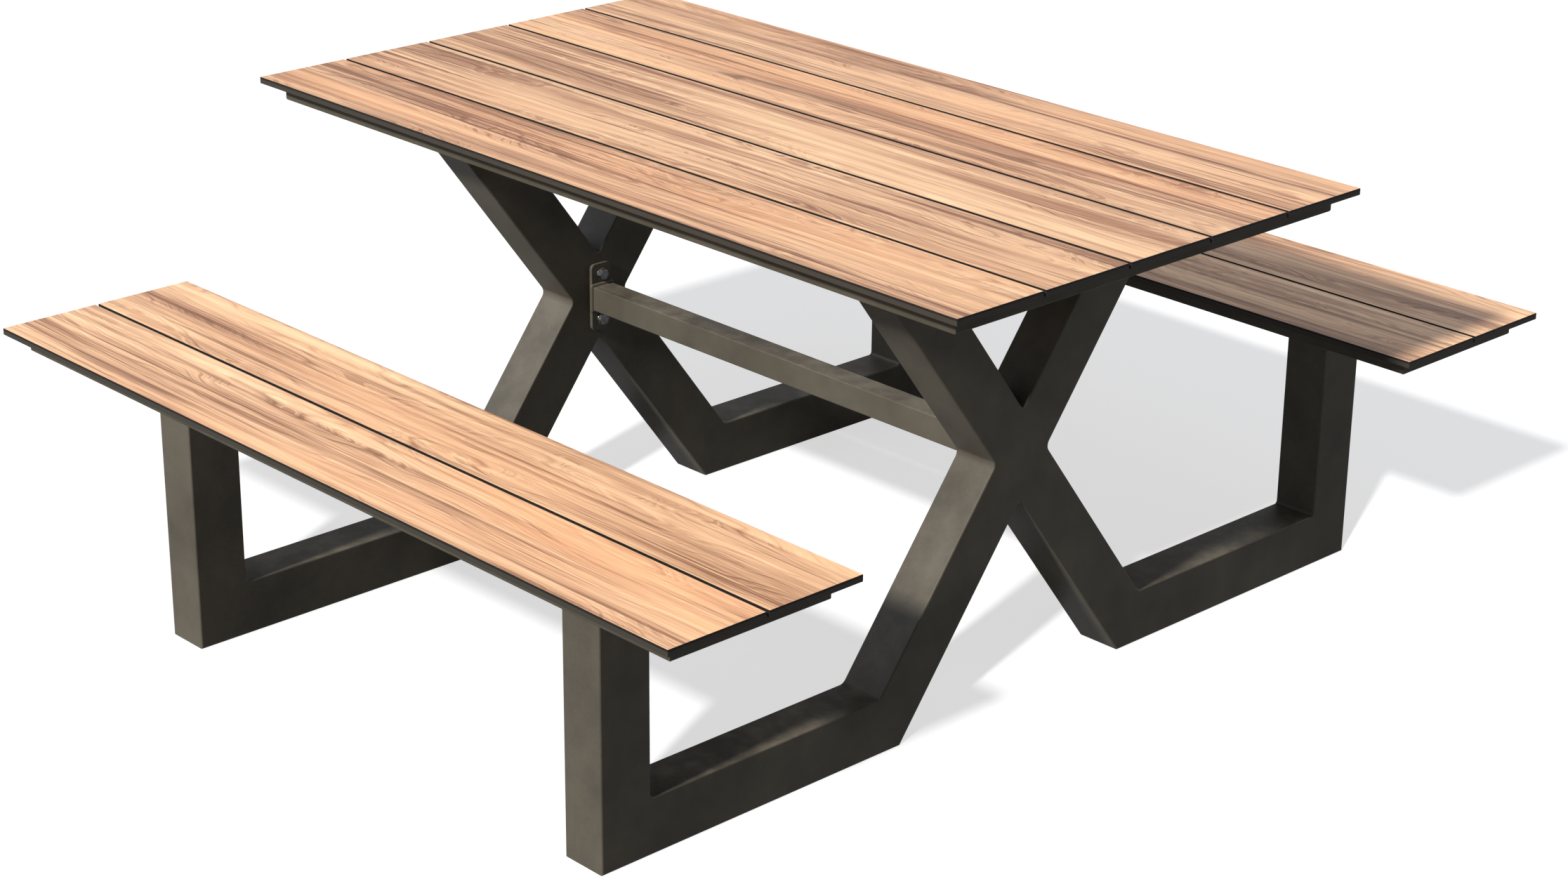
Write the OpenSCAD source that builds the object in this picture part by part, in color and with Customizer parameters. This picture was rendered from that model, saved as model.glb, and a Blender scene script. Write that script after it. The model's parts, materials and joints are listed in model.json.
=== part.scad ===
// Picnic table with two attached benches: plank decks on tube subframes, carried by two
// X-shaped end frames that run out along the ground and up into bench posts, and tied
// together by one cross beam. Millimetres. The origin is on the ground under the middle
// of the tabletop, +X runs along the planks, +Y towards the rear bench and +Z up.

/* [Overall] */
// Height of the tabletop's upper face above the ground
table_h = 750; // [700:5:900]
// Height of the benches' upper faces above the ground
seat_h = 450; // [400:5:540]
// Length of the tabletop planks
table_l = 1500; // [1250:10:2200]
// Length of the bench planks
bench_l = 1500; // [1250:10:2200]
// Distance from the middle of the table to the middle of each bench
bench_reach = 728; // [650:1:875]
// Distance between the outer faces of the two end frames
frame_spread = 1000; // [830:5:1100]

/* [Planks] */
// Width of each plank
plank_w = 160; // [134:1:192]
// Thickness of each plank
plank_t = 10; // [8:0.5:14]
// Gap between two planks
plank_gap = 5; // [3:0.5:8]

/* [Subframes] */
// Height of the rail and bearer tubes
rail_h = 25; // [20:1:35]
// Width of the rail tubes
rail_w = 40; // [30:1:48]
// Width of the bearer tubes
bearer_w = 80; // [66:1:96]
// Wall of the rail and bearer tubes
rail_wall = 2; // [1.5:0.25:3]
// Distance that the planks stand out beyond the rails
rail_inset = 28; // [10:1:40]

/* [End frames] */
// Width of the frame tube, seen from the end of the table
tube_w = 85; // [70:1:102]
// Depth of the frame tube along the table
tube_d = 75; // [60:1:90]
// Wall of the frame tube
tube_wall = 3; // [2:0.5:4]
// Height of the middle of the crossing above the ground
cross_z = 380; // [320:5:456]
// Angle of the crossing bars from the ground
leg_angle = 53; // [48:0.5:64]
// Distance that a post stands outwards of the middle of its bench
post_offset = 15; // [0:1:30]
// Radius of the large weld fillets, beside the crossing and above the feet
weld_r = 12; // [6:1:18]
// Radius of the small weld fillets
small_weld_r = 5; // [3:0.5:8]
// Thickness of the plates on top of the arms and posts
plate_t = 6; // [4:0.5:8]

/* [Cross beam] */
// Side of the square beam tube
beam_s = 40; // [30:1:50]
// Wall of the beam tube
beam_wall = 2.5; // [2:0.5:4]
// Thickness of the beam's end plates
beam_plate_t = 6; // [4:0.5:10]
// Corner radius of the beam's end plates
beam_plate_r = 8; // [4:0.5:12]
// Distance from the beam to a bolt, and from a bolt to the plate's end
bolt_margin = 18; // [17:0.5:22]

/* [Fasteners] */
// Diameter of the beam bolts
beam_bolt_d = 10; // [8:1:12]
// Diameter of the bolts that hold the decks on the end frames
deck_bolt_d = 8; // [6:1:10]
// Distance between the two bolts of an arm or post
deck_bolt_pitch = 44; // [40:1:52]
// Diameter of the plank screws
screw_d = 5; // [4:0.5:6]
// Thickness left in the plank above a screw's tip
screw_cover = 3; // [2:0.5:4]
// Distance of a plank's screws from its middle line
screw_off = 45; // [35:1:50]
// Clearance around a bolt, screw or rivet nut in its hole
fit_gap = 0.1; // [0.05:0.05:0.3]

/* [Hidden] */
$fn = 48;
bite = 1;
table_planks = 5;
bench_planks = 2;
hex_sides = 6;

// Fasteners, in proportion to their thread
beam_head_af = 1.6 * beam_bolt_d;
beam_head_h = 0.64 * beam_bolt_d;
beam_washer_d = 2 * beam_bolt_d;
beam_washer_t = 2;
deck_head_af = 1.6 * deck_bolt_d;
deck_head_h = 0.66 * deck_bolt_d;
nut_collar_t = 3;
beam_nut_l = 1.8 * beam_bolt_d;
deck_nut_l = rail_h * 0.6;
nut_room = deck_bolt_d / 2 + 6;
thread_spare = 1;
screw_head_d = 1.9 * screw_d;
screw_head_h = 0.6 * screw_d;
access_d = screw_head_d + 2.5;
screw_room = screw_head_d;

// Heights
table_z = table_h - plank_t;
seat_z = seat_h - plank_t;
arm_top = table_z - rail_h - plate_t;
post_top = seat_z - rail_h - plate_t;

// Places along the table
frame_in_x = frame_spread / 2 - tube_d;
bearer_x = frame_in_x;
bolt_x = bearer_x - bearer_w / 4;
plate_in_x = bearer_x - bearer_w / 2;

// Places in the plane of an end frame, as [across, up]
cross = [0, cross_z];
post_y = bench_reach + post_offset;
corner = [-post_y, tube_w / 2];
foot = [-(cross_z - tube_w / 2) / tan(leg_angle), tube_w / 2];
foot_mitre = 90 + leg_angle / 2;
arm_y = (arm_top - cross_z) / tan(leg_angle);
arm_half = tube_w / 2 / sin(leg_angle);
side_v = tube_w / 2 / sin(leg_angle);
end_v = tube_w / 2 / cos(leg_angle);
// Middle of an arm's two bolts, whose rivet nuts stay between the tabletop's side rails
arm_bolt_y = min(arm_y, bearer_half(table_planks) - deck_bolt_pitch / 2 - nut_room);

// The beam's plates and bolts
beam_plate_h = beam_s + 4 * bolt_margin;
beam_bolt_z = beam_s / 2 + bolt_margin;
beam_l = 2 * (frame_in_x - beam_plate_t);

laminate = [0.72, 0.47, 0.27];
coat = [0.25, 0.23, 0.20];
steel = [0.72, 0.72, 0.74];

// ---- Outlines -------------------------------------------------------------------------

function along(a) = [cos(a), sin(a)];
function aside(a) = [-sin(a), cos(a)];
function turn(u, v) = u.x * v.y - u.y * v.x;

// Where the line through p at angle a meets the line through q at angle b
function meet(p, a, q, b) = p + along(a) * turn(q - p, along(b)) / turn(along(a), along(b));

// Outline of a bar of half-width half along the line through p at angle a. It runs from the
// cut line start to the cut line finish, each [point, angle], and past both by over.
function bar_outline(p, a, half, start, finish, over = 0) =
    let (left = p + aside(a) * half, right = p - aside(a) * half, more = along(a) * over)
    [
        meet(left, a, start[0], start[1]) - more,
        meet(right, a, start[0], start[1]) - more,
        meet(right, a, finish[0], finish[1]) + more,
        meet(left, a, finish[0], finish[1]) + more
    ];

// A tube lying flat: its outline, and its hollow's outline, both drawn from above
module flat_tube(outline, hollow, depth, wall) {
    difference() {
        linear_extrude(depth) polygon(outline);
        translate([0, 0, wall]) linear_extrude(depth - 2 * wall) polygon(hollow);
    }
}

// A hexagon of the given size across its flats
module hexagon(across_flats, h) {
    cylinder(d = across_flats / cos(180 / hex_sides), h = h, $fn = hex_sides);
}

// A bolt pointing up +Z, with the underside of its head at the origin
module bolt(d, head_af, head_h, shank_l) {
    translate([0, 0, -head_h]) hexagon(head_af, head_h);
    cylinder(d = d, h = shank_l);
}

// A rivet nut with its mouth at the origin, reaching up +Z through a wall and gripping behind it
module rivet_nut(bolt_d, length, wall) {
    difference() {
        union() {
            cylinder(d = nut_d(bolt_d), h = length);
            translate([0, 0, wall]) cylinder(d = nut_d(bolt_d) + 5, h = nut_collar_t);
        }
        translate([0, 0, -bite]) cylinder(d = bolt_d + 2 * fit_gap, h = length + 2 * bite);
    }
}

function nut_d(bolt_d) = bolt_d + 3;

// ---- Decks: planks on a ring of mitred rails with bearers across it --------------------
// A deck's own frame has z = 0 at the underside of its planks, and its middle at the origin.

function deck_w(n) = n * plank_w + (n - 1) * plank_gap;
function plank_y(i, n) = (i - (n + 1) / 2) * (plank_w + plank_gap);
function ring_l(l) = l - 2 * rail_inset;
function ring_w(n) = deck_w(n) - 2 * rail_inset;
function side_rail_y(n) = (ring_w(n) - rail_w) / 2;
function end_rail_x(l) = (ring_l(l) - rail_w) / 2;
function bearer_half(n) = ring_w(n) / 2 - rail_w;

// Screw places. A plank is screwed to each rail and bearer that crosses it, and an outer
// plank also to the side rail under it.
function cross_xs(l) = [-end_rail_x(l), -bearer_x, 0, bearer_x, end_rail_x(l)];
function side_xs(l) = [for (k = [-2:2]) k * (end_rail_x(l) - 2.5 * rail_w) / 2];
function cross_ys(i, n) =
    [for (s = [-1, 1]) let (y = plank_y(i, n) + s * screw_off) if (abs(y) < bearer_half(n) - screw_room) y];
function row_ys(n) = [for (i = [1:n]) each cross_ys(i, n)];
function side_places(i, n, l) =
    i == 1 ? [for (x = side_xs(l)) [x, -side_rail_y(n)]] :
    i == n ? [for (x = side_xs(l)) [x, side_rail_y(n)]] : [];
function plank_places(i, n, l) =
    concat([for (x = cross_xs(l), y = cross_ys(i, n)) [x, y]], side_places(i, n, l));

module deck_plank(i, n, l) {
    color(laminate)
    difference() {
        translate([-l / 2, plank_y(i, n) - plank_w / 2, 0]) cube([l, plank_w, plank_t]);
        for (place = plank_places(i, n, l))
            translate([place.x, place.y, -bite])
                cylinder(d = screw_d + 2 * fit_gap, h = plank_t - screw_cover + bite);
    }
}

// Holes for plank screws in a rail: one through the upper wall, and a wide one below it
// that lets the screw and the driver in
module screw_holes(places) {
    for (place = places)
        translate([place.x, place.y, 0]) {
            translate([0, 0, -rail_wall - bite])
                cylinder(d = screw_d + 2 * fit_gap, h = rail_wall + 2 * bite);
            translate([0, 0, -rail_h - bite]) cylinder(d = access_d, h = rail_wall + 2 * bite);
        }
}

// One side of the mitred ring, along -Y, between the offsets a and b from the ring's edge
function ring_side(lx, ly, a, b, over = 0) =
    bar_outline([0, (a + b - ly) / 2], 0, (b - a) / 2,
                [[-lx / 2, -ly / 2], 45], [[lx / 2, -ly / 2], 135], over);

module ring_tube(lx, ly) {
    translate([0, 0, -rail_h])
        flat_tube(ring_side(lx, ly, 0, rail_w), ring_side(lx, ly, rail_wall, rail_w - rail_wall, bite),
                  rail_h, rail_wall);
}

// side is -1 for the rail along -Y and 1 for the rail along +Y
module deck_side_rail(n, l, side) {
    color(coat)
    difference() {
        rotate(side < 0 ? 0 : 180) ring_tube(ring_l(l), ring_w(n));
        screw_holes([for (x = side_xs(l)) [x, side * side_rail_y(n)]]);
    }
}

// end is -1 for the rail at -X and 1 for the rail at +X
module deck_end_rail(n, l, end) {
    color(coat)
    difference() {
        rotate(end < 0 ? -90 : 90) ring_tube(ring_w(n), ring_l(l));
        screw_holes([for (y = row_ys(n)) [end * end_rail_x(l), y]]);
    }
}

// A bearer across the deck at x, with holes for rivet nuts at nut_places
module deck_bearer(n, x, nut_places = []) {
    color(coat)
    difference() {
        translate([x - bearer_w / 2, -bearer_half(n), -rail_h]) cube([bearer_w, 2 * bearer_half(n), rail_h]);
        translate([x - bearer_w / 2 + rail_wall, -bearer_half(n) - bite, rail_wall - rail_h])
            cube([bearer_w - 2 * rail_wall, 2 * (bearer_half(n) + bite), rail_h - 2 * rail_wall]);
        screw_holes([for (y = row_ys(n)) [x, y]]);
        for (place = nut_places)
            translate([place.x, place.y, -rail_h - bite])
                cylinder(d = nut_d(deck_bolt_d) + 2 * fit_gap, h = rail_wall + 2 * bite);
    }
}

module deck_screws(n, l) {
    color(steel)
    for (i = [1:n], place = plank_places(i, n, l))
        translate([place.x, place.y, -rail_wall]) {
            translate([0, 0, -screw_head_h]) cylinder(d = screw_head_d, h = screw_head_h);
            cylinder(d = screw_d, h = rail_wall + plank_t - screw_cover - thread_spare);
        }
}

module at_table() {
    translate([0, 0, table_z]) children();
}

// side is -1 for the front bench and 1 for the rear bench
module at_bench(side) {
    translate([0, side * bench_reach, seat_z]) children();
}

// Bolt places in a deck's own frame, for the bearer at end
function table_bolts(end) =
    [for (s = [-1, 1], t = [-1, 1]) [end * bolt_x, s * arm_bolt_y + t * deck_bolt_pitch / 2]];
function bench_bolts(side, end) =
    [for (t = [-1, 1]) [end * bolt_x, side * post_offset + t * deck_bolt_pitch / 2]];

module table_plank(i) at_table() deck_plank(i, table_planks, table_l);
module table_plank_1() table_plank(1);
module table_plank_2() table_plank(2);
module table_plank_3() table_plank(3);
module table_plank_4() table_plank(4);
module table_plank_5() table_plank(5);

module table_front_rail() at_table() deck_side_rail(table_planks, table_l, -1);
module table_rear_rail() at_table() deck_side_rail(table_planks, table_l, 1);
module table_left_end_rail() at_table() deck_end_rail(table_planks, table_l, -1);
module table_right_end_rail() at_table() deck_end_rail(table_planks, table_l, 1);

module table_left_bearer() at_table() deck_bearer(table_planks, -bearer_x, table_bolts(-1));
module table_middle_bearer() at_table() deck_bearer(table_planks, 0);
module table_right_bearer() at_table() deck_bearer(table_planks, bearer_x, table_bolts(1));

module bench_plank(side, i) at_bench(side) deck_plank(i, bench_planks, bench_l);
module front_bench_outer_plank() bench_plank(-1, 1);
module front_bench_inner_plank() bench_plank(-1, 2);
module rear_bench_inner_plank() bench_plank(1, 1);
module rear_bench_outer_plank() bench_plank(1, 2);

module bench_side_rail(side, edge) at_bench(side) deck_side_rail(bench_planks, bench_l, edge);
module front_bench_outer_rail() bench_side_rail(-1, -1);
module front_bench_inner_rail() bench_side_rail(-1, 1);
module rear_bench_inner_rail() bench_side_rail(1, -1);
module rear_bench_outer_rail() bench_side_rail(1, 1);

module bench_end_rail(side, end) at_bench(side) deck_end_rail(bench_planks, bench_l, end);
module front_bench_left_end_rail() bench_end_rail(-1, -1);
module front_bench_right_end_rail() bench_end_rail(-1, 1);
module rear_bench_left_end_rail() bench_end_rail(1, -1);
module rear_bench_right_end_rail() bench_end_rail(1, 1);

module bench_bearer(side, end) at_bench(side) deck_bearer(bench_planks, end * bearer_x, bench_bolts(side, end));
module bench_middle_bearer(side) at_bench(side) deck_bearer(bench_planks, 0);
module front_bench_left_bearer() bench_bearer(-1, -1);
module front_bench_middle_bearer() bench_middle_bearer(-1);
module front_bench_right_bearer() bench_bearer(-1, 1);
module rear_bench_left_bearer() bench_bearer(1, -1);
module rear_bench_middle_bearer() bench_middle_bearer(1);
module rear_bench_right_bearer() bench_bearer(1, 1);

module plank_screws() {
    at_table() deck_screws(table_planks, table_l);
    for (side = [-1, 1]) at_bench(side) deck_screws(bench_planks, bench_l);
}

// ---- End frames ------------------------------------------------------------------------
// An outline in the plane of a frame is [across, up]. The right frame is at +X, and the
// left one is its mirror image.

module at_end(end) {
    if (end > 0) translate([frame_in_x, 0, 0]) rotate([90, 0, 90]) children();
    else mirror([1, 0, 0]) translate([frame_in_x, 0, 0]) rotate([90, 0, 90]) children();
}

module frame_tube(p, a, start, finish) {
    flat_tube(bar_outline(p, a, tube_w / 2, start, finish),
              bar_outline(p, a, tube_w / 2 - tube_wall, start, finish, bite), tube_d, tube_wall);
}

// Cut lines, each [point, angle], for the front half of a frame. The rear half mirrors them.
corner_cut = [corner, 45];
foot_cut = [foot, foot_mitre];
arm_cut = [[0, arm_top], 0];
post_cut = [[0, post_top], 0];
// The two long faces of the long bar, as the mirrored bars meet them
lower_butt = [cross - tube_w / 2 * [sin(leg_angle), cos(leg_angle)], 180 - leg_angle];
upper_butt = [cross + tube_w / 2 * [sin(leg_angle), cos(leg_angle)], 180 - leg_angle];

// The bar that runs whole from the front foot, through the crossing, to the rear arm's top
module long_bar(end) {
    color(coat)
    at_end(end)
    difference() {
        frame_tube(cross, leg_angle, foot_cut, arm_cut);
        for (s = [-1, 1])
            translate([0, cross_z + s * beam_bolt_z, -bite])
                cylinder(d = nut_d(beam_bolt_d) + 2 * fit_gap, h = tube_wall + 2 * bite);
    }
}

// The other bar is cut in two, and butts against the long bar from both sides
module lower_bar(end) color(coat) at_end(end) mirror([1, 0]) frame_tube(cross, leg_angle, foot_cut, lower_butt);
module upper_bar(end) color(coat) at_end(end) mirror([1, 0]) frame_tube(cross, leg_angle, upper_butt, arm_cut);

module front_foot_rail(end) color(coat) at_end(end) frame_tube(corner, 0, corner_cut, foot_cut);
module rear_foot_rail(end) color(coat) at_end(end) mirror([1, 0]) frame_tube(corner, 0, corner_cut, foot_cut);
module front_post(end) color(coat) at_end(end) frame_tube(corner, 90, corner_cut, post_cut);
module rear_post(end) color(coat) at_end(end) mirror([1, 0]) frame_tube(corner, 90, corner_cut, post_cut);

// A fillet of weld that rounds the inner corner v between the edges at angles a and b
module weld(v, a, b, r) {
    half = (b - a) / 2;
    reach = r / tan(half);
    difference() {
        linear_extrude(tube_d) polygon([v, v + reach * along(a), v + reach * along(b)]);
        translate([0, 0, -bite])
            linear_extrude(tube_d + 2 * bite)
                translate(v + r / sin(half) * along(a + half)) circle(r);
    }
}

// Inner corner between the top of the foot rail and the leg
foot_v = meet([0, tube_w], 0, cross + aside(leg_angle) * tube_w / 2, leg_angle);

module frame_welds(end) {
    color(coat)
    at_end(end) {
        weld(cross + [0, end_v], leg_angle, 180 - leg_angle, small_weld_r);
        weld(cross - [0, end_v], 180 + leg_angle, 360 - leg_angle, small_weld_r);
        for (side = [0, 1]) mirror([side, 0]) {
            weld(cross - [side_v, 0], 180 - leg_angle, 180 + leg_angle, weld_r);
            weld(foot_v, leg_angle, 180, weld_r);
            weld([tube_w / 2 - post_y, tube_w], 0, 90, small_weld_r);
        }
    }
}

// A plate welded on top of a tube and reaching inwards under the bearer, with two bolt holes
// about bolt_y
module top_plate(y, half, bolt_y, z, end) {
    difference() {
        translate([end > 0 ? plate_in_x : -frame_spread / 2, y - half, z])
            cube([frame_spread / 2 - plate_in_x, 2 * half, plate_t]);
        for (t = [-1, 1])
            translate([end * bolt_x, bolt_y + t * deck_bolt_pitch / 2, z - bite])
                cylinder(d = deck_bolt_d + 2 * fit_gap, h = plate_t + 2 * bite);
    }
}

module arm_plates(end) {
    color(coat)
    for (side = [-1, 1]) top_plate(side * arm_y, arm_half, side * arm_bolt_y, arm_top, end);
}

module post_plates(end) {
    color(coat)
    for (side = [-1, 1]) top_plate(side * post_y, tube_w / 2, side * post_y, post_top, end);
}

module left_frame_long_bar() long_bar(-1);
module left_frame_lower_bar() lower_bar(-1);
module left_frame_upper_bar() upper_bar(-1);
module left_frame_front_foot_rail() front_foot_rail(-1);
module left_frame_rear_foot_rail() rear_foot_rail(-1);
module left_frame_front_post() front_post(-1);
module left_frame_rear_post() rear_post(-1);
module left_frame_welds() frame_welds(-1);
module left_frame_arm_plates() arm_plates(-1);
module left_frame_post_plates() post_plates(-1);

module right_frame_long_bar() long_bar(1);
module right_frame_lower_bar() lower_bar(1);
module right_frame_upper_bar() upper_bar(1);
module right_frame_front_foot_rail() front_foot_rail(1);
module right_frame_rear_foot_rail() rear_foot_rail(1);
module right_frame_front_post() front_post(1);
module right_frame_rear_post() rear_post(1);
module right_frame_welds() frame_welds(1);
module right_frame_arm_plates() arm_plates(1);
module right_frame_post_plates() post_plates(1);

// ---- Bolts between the decks and the end frames ----------------------------------------

// Places its children at every deck bolt, with z = 0 at the top of the plates
module at_deck_bolts() {
    for (end = [-1, 1]) {
        at_table() for (place = table_bolts(end)) translate([place.x, place.y, -rail_h]) children();
        for (side = [-1, 1])
            at_bench(side) for (place = bench_bolts(side, end)) translate([place.x, place.y, -rail_h]) children();
    }
}

module deck_bolts() {
    color(steel)
    at_deck_bolts()
        translate([0, 0, -plate_t])
            bolt(deck_bolt_d, deck_head_af, deck_head_h, plate_t + deck_nut_l + thread_spare);
}

module deck_rivet_nuts() {
    color(steel)
    at_deck_bolts() rivet_nut(deck_bolt_d, deck_nut_l, rail_wall);
}

// ---- Cross beam ------------------------------------------------------------------------

module cross_beam() {
    color(coat)
    translate([-beam_l / 2, 0, cross_z])
        rotate([90, 0, 90])
            linear_extrude(beam_l)
                difference() {
                    square(beam_s, center = true);
                    square(beam_s - 2 * beam_wall, center = true);
                }
}

// Upright plate with rounded corners, welded on the end of the beam
module beam_plate(end) {
    color(coat)
    at_end(end)
    translate([0, cross_z, -beam_plate_t])
    linear_extrude(beam_plate_t)
    difference() {
        union() {
            square([beam_s, beam_plate_h - 2 * beam_plate_r], center = true);
            square([beam_s - 2 * beam_plate_r, beam_plate_h], center = true);
            for (s = [-1, 1], t = [-1, 1])
                translate([s * (beam_s / 2 - beam_plate_r), t * (beam_plate_h / 2 - beam_plate_r)])
                    circle(beam_plate_r);
        }
        for (s = [-1, 1]) translate([0, s * beam_bolt_z]) circle(d = beam_bolt_d + 2 * fit_gap);
    }
}

module beam_left_plate() beam_plate(-1);
module beam_right_plate() beam_plate(1);

// Places its children at every beam bolt, pointing into the frame from its inner face
module at_beam_bolts() {
    for (end = [-1, 1], s = [-1, 1]) at_end(end) translate([0, cross_z + s * beam_bolt_z, 0]) children();
}

module beam_bolts() {
    color(steel)
    at_beam_bolts()
        translate([0, 0, -beam_plate_t - beam_washer_t])
            bolt(beam_bolt_d, beam_head_af, beam_head_h,
                 beam_washer_t + beam_plate_t + beam_nut_l + thread_spare);
}

module beam_washers() {
    color(steel)
    at_beam_bolts()
        translate([0, 0, -beam_plate_t - beam_washer_t])
            linear_extrude(beam_washer_t)
                difference() {
                    circle(d = beam_washer_d);
                    circle(d = beam_bolt_d + 2 * fit_gap);
                }
}

module beam_rivet_nuts() {
    color(steel)
    at_beam_bolts() rivet_nut(beam_bolt_d, beam_nut_l, tube_wall);
}

table_plank_1();
table_plank_2();
table_plank_3();
table_plank_4();
table_plank_5();
table_front_rail();
table_rear_rail();
table_left_end_rail();
table_right_end_rail();
table_left_bearer();
table_middle_bearer();
table_right_bearer();
front_bench_outer_plank();
front_bench_inner_plank();
front_bench_outer_rail();
front_bench_inner_rail();
front_bench_left_end_rail();
front_bench_right_end_rail();
front_bench_left_bearer();
front_bench_middle_bearer();
front_bench_right_bearer();
rear_bench_inner_plank();
rear_bench_outer_plank();
rear_bench_inner_rail();
rear_bench_outer_rail();
rear_bench_left_end_rail();
rear_bench_right_end_rail();
rear_bench_left_bearer();
rear_bench_middle_bearer();
rear_bench_right_bearer();
left_frame_long_bar();
left_frame_lower_bar();
left_frame_upper_bar();
left_frame_front_foot_rail();
left_frame_rear_foot_rail();
left_frame_front_post();
left_frame_rear_post();
left_frame_welds();
left_frame_arm_plates();
left_frame_post_plates();
right_frame_long_bar();
right_frame_lower_bar();
right_frame_upper_bar();
right_frame_front_foot_rail();
right_frame_rear_foot_rail();
right_frame_front_post();
right_frame_rear_post();
right_frame_welds();
right_frame_arm_plates();
right_frame_post_plates();
cross_beam();
beam_left_plate();
beam_right_plate();
beam_bolts();
beam_washers();
beam_rivet_nuts();
deck_bolts();
deck_rivet_nuts();
plank_screws();
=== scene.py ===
"""Picnic table with two attached benches: laminate planks on powder-coated steel."""

import json
from math import atan2, cos, pi, radians, sin, tan
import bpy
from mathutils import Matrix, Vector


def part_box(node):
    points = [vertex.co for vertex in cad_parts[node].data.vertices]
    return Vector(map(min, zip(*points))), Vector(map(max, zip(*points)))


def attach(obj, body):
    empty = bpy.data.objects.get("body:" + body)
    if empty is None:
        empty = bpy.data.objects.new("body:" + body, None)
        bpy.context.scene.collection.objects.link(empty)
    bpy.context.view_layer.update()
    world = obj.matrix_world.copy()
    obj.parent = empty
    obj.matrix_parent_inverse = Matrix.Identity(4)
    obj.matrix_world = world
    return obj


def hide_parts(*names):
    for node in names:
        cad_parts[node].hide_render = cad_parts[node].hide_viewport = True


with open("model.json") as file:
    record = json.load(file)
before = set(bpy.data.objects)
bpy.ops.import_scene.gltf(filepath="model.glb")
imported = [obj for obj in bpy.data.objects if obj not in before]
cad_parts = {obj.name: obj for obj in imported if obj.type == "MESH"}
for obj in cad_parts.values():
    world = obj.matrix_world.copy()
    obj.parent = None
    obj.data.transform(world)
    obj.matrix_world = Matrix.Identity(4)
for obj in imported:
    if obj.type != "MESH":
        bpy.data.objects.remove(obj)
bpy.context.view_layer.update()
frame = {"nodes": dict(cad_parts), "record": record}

from types import SimpleNamespace

import bmesh
import bpy
from mathutils import Matrix, Vector

# Camera: its place in metres, its lens and sensor in millimetres
CAMERA_PLACE = (3.311, -3.146, 2.087)
CAMERA_AZIMUTH = radians(46.37)
CAMERA_ELEVATION = radians(21.85)
CAMERA_ROLL = radians(0.62)
CAMERA_LENS = 73.43
SENSOR_WIDTH = 36

# Floor, in metres
FLOOR_SIZE = 60
FLOOR_DROP = 0.0003  # keeps the floor off the foot rails' undersides

# Lights: azimuth and elevation in degrees, strength, spread in degrees, and colour
KEY_LIGHT = (3, 34, 8.8, 5, (1.0, 0.96, 0.885))
SHEEN_LIGHT = (-52, 32, 2.1, 50, (0.82, 0.89, 1.0))
BACK_LIGHT = (180, 32, 1.5, 50, (0.90, 0.95, 1.0))
FLOOR_LIGHT = (25, 36, 4.0, 2.5, (1, 1, 1))
LIGHT_DISTANCE = 6
WHITE = (1, 1, 1, 1)
SKY = (0.19, 0.20, 0.225, 1)
HORIZON = (0.14, 0.34)  # from white at the first height to all sky at the second

# Wood, from its darkest tone to its palest, and the lines drawn over it
WOOD_TONES = (
    (0.400, (0.140, 0.070, 0.038)),
    (0.450, (0.290, 0.166, 0.100)),
    (0.500, (0.420, 0.260, 0.158)),
    (0.555, (0.500, 0.338, 0.208)),
    (0.620, (0.575, 0.420, 0.264)),
)
WOOD_BAND = (0.185, 0.082, 0.046, 1)
WOOD_VEIN = (0.120, 0.050, 0.030, 1)
WOOD_RING = (0.165, 0.074, 0.040, 1)
WOOD_BLUSH = (0.90, 0.66, 0.54, 1)
PLANK_SHIFT = (1.7, 0.37, 0.0)
WANDER = 0.030  # how far the grain wavers, in metres
RIPPLE = 0.004
RINGS_PER_METRE = 17.0

# For each kind of deck, how light its wood is and how strong its dark lines are. The lightness holds painted
# light: the benches' wood is painted lighter, as if in full sun, and the table's darker, as if in dappled
# shade.
DECK_WOOD_AND_PAINTED_LIGHT = {"table": (0.97, 0.95), "bench": (1.18, 0.72)}

# Colours of the other finishes
CORE_RIM = (0.004, 0.0035, 0.003, 1)
CORE = (0.015, 0.013, 0.0105, 1)
CORE_FLECK = (0.030, 0.026, 0.021, 1)
# The subframe's coat is the frames' coat painted darker: painted shade from the decks' overhang.
SUBFRAME_COAT_PAINTED_SHADE = (0.034, 0.0305, 0.0235)
FRAME_COAT = (0.042, 0.0375, 0.0300)
COAT_DARKEST = 0.66
COAT_LIGHTEST = 1.38
DUST = (0.13, 0.112, 0.09, 1)
ZINC_DARK = (0.17, 0.17, 0.165)
ZINC_LIGHT = (0.30, 0.30, 0.31)
FLOOR_DARK = (0.44, 0.44, 0.44)
FLOOR_PALE = (0.47, 0.47, 0.47)
FLOOR_GLOW = 0.62

# Tolerances
MM_PER_METRE = 1000.0
TINY = 1e-5
CUT_SLACK = 1e-6
EDGE_SLACK = 2e-4
FLAT_ANGLE = radians(0.5)
SMOOTH_ANGLE = radians(40)
CORNER_ANGLE = radians(80)
CREASE_ANGLE = radians(5)
OPENING_SLACK = radians(1)
STRAIGHT = 0.999

# Planks, rails and frames, in metres
BOARD_CHAMFER = 0.0007
BOARD_EDGE_MIN = 0.009
RAIL_ROUND = 0.002
RAIL_EDGE_MIN = 0.05
TUBE_ROUND = 0.0026
TUBE_WALL = 0.003
HOLLOW_OVERRUN = 0.1
WELD_R = 0.012
SMALL_WELD_R = 0.005
SEAM = 2e-5
PLATE_ROUND = 0.0008
PLATE_EDGE_MIN = 0.0008
BEAM_BEAD = 0.004
BEAM_BEAD_ROUND = 0.85 * BEAM_BEAD

# Fasteners, in metres
BEAM_HEAD_H = 0.0064
BEAM_THREAD = 0.01
WASHER_BORE = 0.0102
DECK_HEAD_H = 0.00528
DECK_THREAD = 0.008
SCREW_HEAD_H = 0.003
SCREW_HEAD_ROUND = 0.0012
SCREW_THREAD = 0.005


# ---- Handling pieces -------------------------------------------------------------------


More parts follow.
